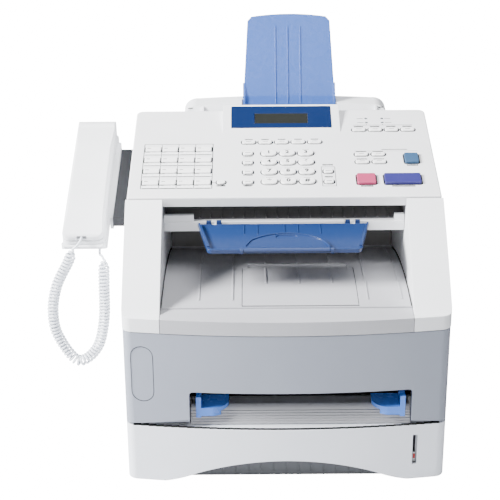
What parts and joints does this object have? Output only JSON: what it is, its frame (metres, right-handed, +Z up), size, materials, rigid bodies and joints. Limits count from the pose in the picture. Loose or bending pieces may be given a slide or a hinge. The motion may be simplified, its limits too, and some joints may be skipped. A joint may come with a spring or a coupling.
{
  "type": "fax machine",
  "caption": "Desktop laser fax with corded handset on a side cradle, sloping key panel, clear blue document support, catch tray, front paper cassette and manual feed.",
  "frame": {"origin": "on the table, at the centre of the underside of the front left rubber foot; the middle of the body's footprint is at (0.140, 0.120, 0)", "axes": "+X to the right seen from the front, +Y to the back, +Z up"},
  "size_m": [0.4469, 0.4119, 0.4195],
  "materials": {
    "case_white": "fine-grained moulded",
    "cover_grey": "fine-grained moulded",
    "drawer_white": "fine-grained moulded",
    "panel_white": "fine-grained moulded",
    "tray_white": "satin moulded",
    "catch_blue": "satin moulded",
    "guide_blue": "gloss",
    "clear_blue": "translucent moulded plastic",
    "bezel_blue": "gloss",
    "display_glass": "dark display window",
    "key_white": "satin keytops",
    "stop_pink": "satin keytop",
    "start_indigo": "satin keytop",
    "copy_blue": "satin keytop",
    "inside_grey": "moulded",
    "arm_grey": "fine-grained moulded",
    "cord_white": "flexible vinyl",
    "soft_rubber": "matt",
    "steel_plate": "zinc plated",
    "screw_steel": "zinc plated",
    "board_green": "circuit board",
    "sensor_glass": "glass over a black housing",
    "roller_steel": "shaft with rolls"
  },
  "bodies": {
    "machine": {"base_frame": "steel_plate", "right_side_cover": "case_white", "left_side_cover": "case_white", "rear_cover": "case_white", "output_tray": "tray_white", "scanner_frame": "case_white", "feeder_bed": "tray_white", "document_tray": "case_white", "handset_cradle": "case_white", "cradle_arm": "arm_grey", "coil_cord": "cord_white", "rubber_feet": "soft_rubber", "case_screws": "screw_steel", "main_board": "board_green", "laser_unit": "inside_grey", "drum_toner_cartridge": "inside_grey", "image_sensor": "sensor_glass"},
    "panel": {"control_panel": "panel_white", "panel_underside": "inside_grey", "key_board": "board_green", "lcd_bezel": "bezel_blue", "lcd_window": "display_glass"},
    "cover": {"front_cover": "cover_grey", "blanking_plate": "cover_grey"},
    "cassette": {"paper_cassette": "drawer_white"},
    "lift": {"lift_plate": "steel_plate"},
    "stop_flap": {"output_flap": "tray_white"},
    "pickup": {"pickup_roller": "soft_rubber"},
    "fuser": {"fuser_roller": "roller_steel"},
    "feed_roll": {"document_feed_roller": "soft_rubber"},
    "catch_tray": {"document_output_tray": "catch_blue"},
    "catch_flap": {"document_tray_tongue": "catch_blue"},
    "backrest": {"document_support": "clear_blue"},
    "guide_left": {"left_document_guide": "case_white"},
    "guide_right": {"right_document_guide": "case_white"},
    "feed_left": {"left_feed_guide": "guide_blue"},
    "feed_right": {"right_feed_guide": "guide_blue"},
    "handset": {"handset_shell": "case_white", "handset_inner": "case_white"},
    "hook": {"hook_switch": "inside_grey"},
    "number_key_0_body": {"number_key_0": "key_white"},
    "number_key_1_body": {"number_key_1": "key_white"},
    "number_key_2_body": {"number_key_2": "key_white"},
    "number_key_3_body": {"number_key_3": "key_white"},
    "number_key_4_body": {"number_key_4": "key_white"},
    "number_key_5_body": {"number_key_5": "key_white"},
    "number_key_6_body": {"number_key_6": "key_white"},
    "number_key_7_body": {"number_key_7": "key_white"},
    "number_key_8_body": {"number_key_8": "key_white"},
    "number_key_9_body": {"number_key_9": "key_white"},
    "number_key_hash_body": {"number_key_hash": "key_white"},
    "number_key_star_body": {"number_key_star": "key_white"},
    "stop_key_body": {"stop_key": "stop_pink"},
    "start_key_body": {"start_key": "start_indigo"},
    "copy_key_body": {"copy_key": "copy_blue"},
    "one_touch_keys_body": {"one_touch_keys": "key_white"},
    "navigation_keys_body": {"navigation_keys": "key_white"},
    "function_keys_body": {"function_keys": "key_white"},
    "mode_keys_body": {"mode_keys": "key_white"},
    "copy_option_keys_body": {"copy_option_keys": "key_white"}
  },
  "joints": [
    {"name": "panel_hinge", "type": "hinge", "parent": "machine", "child": "panel", "pos_m": [0.14, 0.254, 0.313], "axis": [-1, 0, 0], "range_deg": [0, 45]},
    {"name": "cover_hinge", "type": "hinge", "parent": "machine", "child": "cover", "pos_m": [0.14, -0.056, 0.09], "axis": [1, 0, 0], "range_deg": [0, 85]},
    {"name": "output_flap_hinge", "type": "hinge", "parent": "machine", "child": "stop_flap", "pos_m": [0.1554, -0.0395, 0.20339], "axis": [1, 0, 0], "range_deg": [0, 28]},
    {"name": "catch_tray_hinge", "type": "hinge", "parent": "machine", "child": "catch_tray", "pos_m": [0.14, 0.06115, 0.25331], "axis": [-1, 0, 0], "range_deg": [0, 25]},
    {"name": "catch_flap_hinge", "type": "hinge", "parent": "catch_tray", "child": "catch_flap", "pos_m": [0.1418, -0.00099, 0.2514], "axis": [1, 0, 0], "range_deg": [0, 170]},
    {"name": "backrest_hinge", "type": "hinge", "parent": "machine", "child": "backrest", "pos_m": [0.151, 0.2737, 0.318], "axis": [-1, 0, 0], "range_deg": [-88, 0]},
    {"name": "cassette_slide", "type": "slide", "parent": "machine", "child": "cassette", "axis": [0, -1, 0], "range_m": [0, 0.28]},
    {"name": "lift_plate_hinge", "type": "hinge", "parent": "cassette", "child": "lift", "pos_m": [0.1554, 0.224, 0.014], "axis": [-1, 0, 0], "range_deg": [0, 6]},
    {"name": "left_document_guide_slide", "type": "slide", "parent": "machine", "child": "guide_left", "axis": [1, 0, 0], "range_m": [0, 0.03]},
    {"name": "right_document_guide_slide", "type": "slide", "parent": "machine", "child": "guide_right", "axis": [-1, 0, 0], "range_m": [0, 0.03]},
    {"name": "left_feed_guide_slide", "type": "slide", "parent": "machine", "child": "feed_left", "axis": [1, 0, 0], "range_m": [0, 0.055]},
    {"name": "right_feed_guide_slide", "type": "slide", "parent": "machine", "child": "feed_right", "axis": [-1, 0, 0], "range_m": [0, 0.055]},
    {"name": "handset_lift", "type": "slide", "parent": "machine", "child": "handset", "axis": [0, -0.2351, 0.972], "range_m": [0, 0.08]},
    {"name": "hook_switch_slide", "type": "slide", "parent": "machine", "child": "hook", "axis": [0, -0.2351, 0.972], "range_m": [0, 0.004]},
    {"name": "pickup_spin", "type": "hinge", "parent": "machine", "child": "pickup", "pos_m": [0.14, -0.008, 0.073], "axis": [1, 0, 0], "continuous": true},
    {"name": "fuser_spin", "type": "hinge", "parent": "machine", "child": "fuser", "pos_m": [0.14, 0.238, 0.118], "axis": [1, 0, 0], "continuous": true},
    {"name": "feed_roller_spin", "type": "hinge", "parent": "panel", "child": "feed_roll", "pos_m": [0.14, 0.18724, 0.2858], "axis": [1, 0, 0], "continuous": true},
    {"name": "number_key_0_press", "type": "slide", "parent": "panel", "child": "number_key_0_body", "axis": [0, 0.1547, -0.988], "range_m": [0, 0.0012]},
    {"name": "number_key_1_press", "type": "slide", "parent": "panel", "child": "number_key_1_body", "axis": [0, 0.1547, -0.988], "range_m": [0, 0.0012]},
    {"name": "number_key_2_press", "type": "slide", "parent": "panel", "child": "number_key_2_body", "axis": [0, 0.1547, -0.988], "range_m": [0, 0.0012]},
    {"name": "number_key_3_press", "type": "slide", "parent": "panel", "child": "number_key_3_body", "axis": [0, 0.1547, -0.988], "range_m": [0, 0.0012]},
    {"name": "number_key_4_press", "type": "slide", "parent": "panel", "child": "number_key_4_body", "axis": [0, 0.1547, -0.988], "range_m": [0, 0.0012]},
    {"name": "number_key_5_press", "type": "slide", "parent": "panel", "child": "number_key_5_body", "axis": [0, 0.1547, -0.988], "range_m": [0, 0.0012]},
    {"name": "number_key_6_press", "type": "slide", "parent": "panel", "child": "number_key_6_body", "axis": [0, 0.1547, -0.988], "range_m": [0, 0.0012]},
    {"name": "number_key_7_press", "type": "slide", "parent": "panel", "child": "number_key_7_body", "axis": [0, 0.1547, -0.988], "range_m": [0, 0.0012]},
    {"name": "number_key_8_press", "type": "slide", "parent": "panel", "child": "number_key_8_body", "axis": [0, 0.1547, -0.988], "range_m": [0, 0.0012]},
    {"name": "number_key_9_press", "type": "slide", "parent": "panel", "child": "number_key_9_body", "axis": [0, 0.1547, -0.988], "range_m": [0, 0.0012]},
    {"name": "number_key_hash_press", "type": "slide", "parent": "panel", "child": "number_key_hash_body", "axis": [0, 0.1547, -0.988], "range_m": [0, 0.0012]},
    {"name": "number_key_star_press", "type": "slide", "parent": "panel", "child": "number_key_star_body", "axis": [0, 0.1547, -0.988], "range_m": [0, 0.0012]},
    {"name": "stop_key_press", "type": "slide", "parent": "panel", "child": "stop_key_body", "axis": [0, 0.1547, -0.988], "range_m": [0, 0.0012]},
    {"name": "start_key_press", "type": "slide", "parent": "panel", "child": "start_key_body", "axis": [0, 0.1547, -0.988], "range_m": [0, 0.0012]},
    {"name": "copy_key_press", "type": "slide", "parent": "panel", "child": "copy_key_body", "axis": [0, 0.1547, -0.988], "range_m": [0, 0.0012]},
    {"name": "one_touch_keys_press", "type": "slide", "parent": "panel", "child": "one_touch_keys_body", "axis": [0, 0.1547, -0.988], "range_m": [0, 0.0012]},
    {"name": "navigation_keys_press", "type": "slide", "parent": "panel", "child": "navigation_keys_body", "axis": [0, 0.1547, -0.988], "range_m": [0, 0.0012]},
    {"name": "function_keys_press", "type": "slide", "parent": "panel", "child": "function_keys_body", "axis": [0, 0.1547, -0.988], "range_m": [0, 0.0012]},
    {"name": "mode_keys_press", "type": "slide", "parent": "panel", "child": "mode_keys_body", "axis": [0, 0.1547, -0.988], "range_m": [0, 0.0012]},
    {"name": "copy_option_keys_press", "type": "slide", "parent": "panel", "child": "copy_option_keys_body", "axis": [0, 0.1547, -0.988], "range_m": [0, 0.0012]}
  ],
  "couplings": [
    {"joint": "right_document_guide_slide", "follows": "left_document_guide_slide", "ratio": 1},
    {"joint": "right_feed_guide_slide", "follows": "left_feed_guide_slide", "ratio": 1},
    {"joint": "hook_switch_slide", "follows": "handset_lift", "ratio": 0.05}
  ]
}
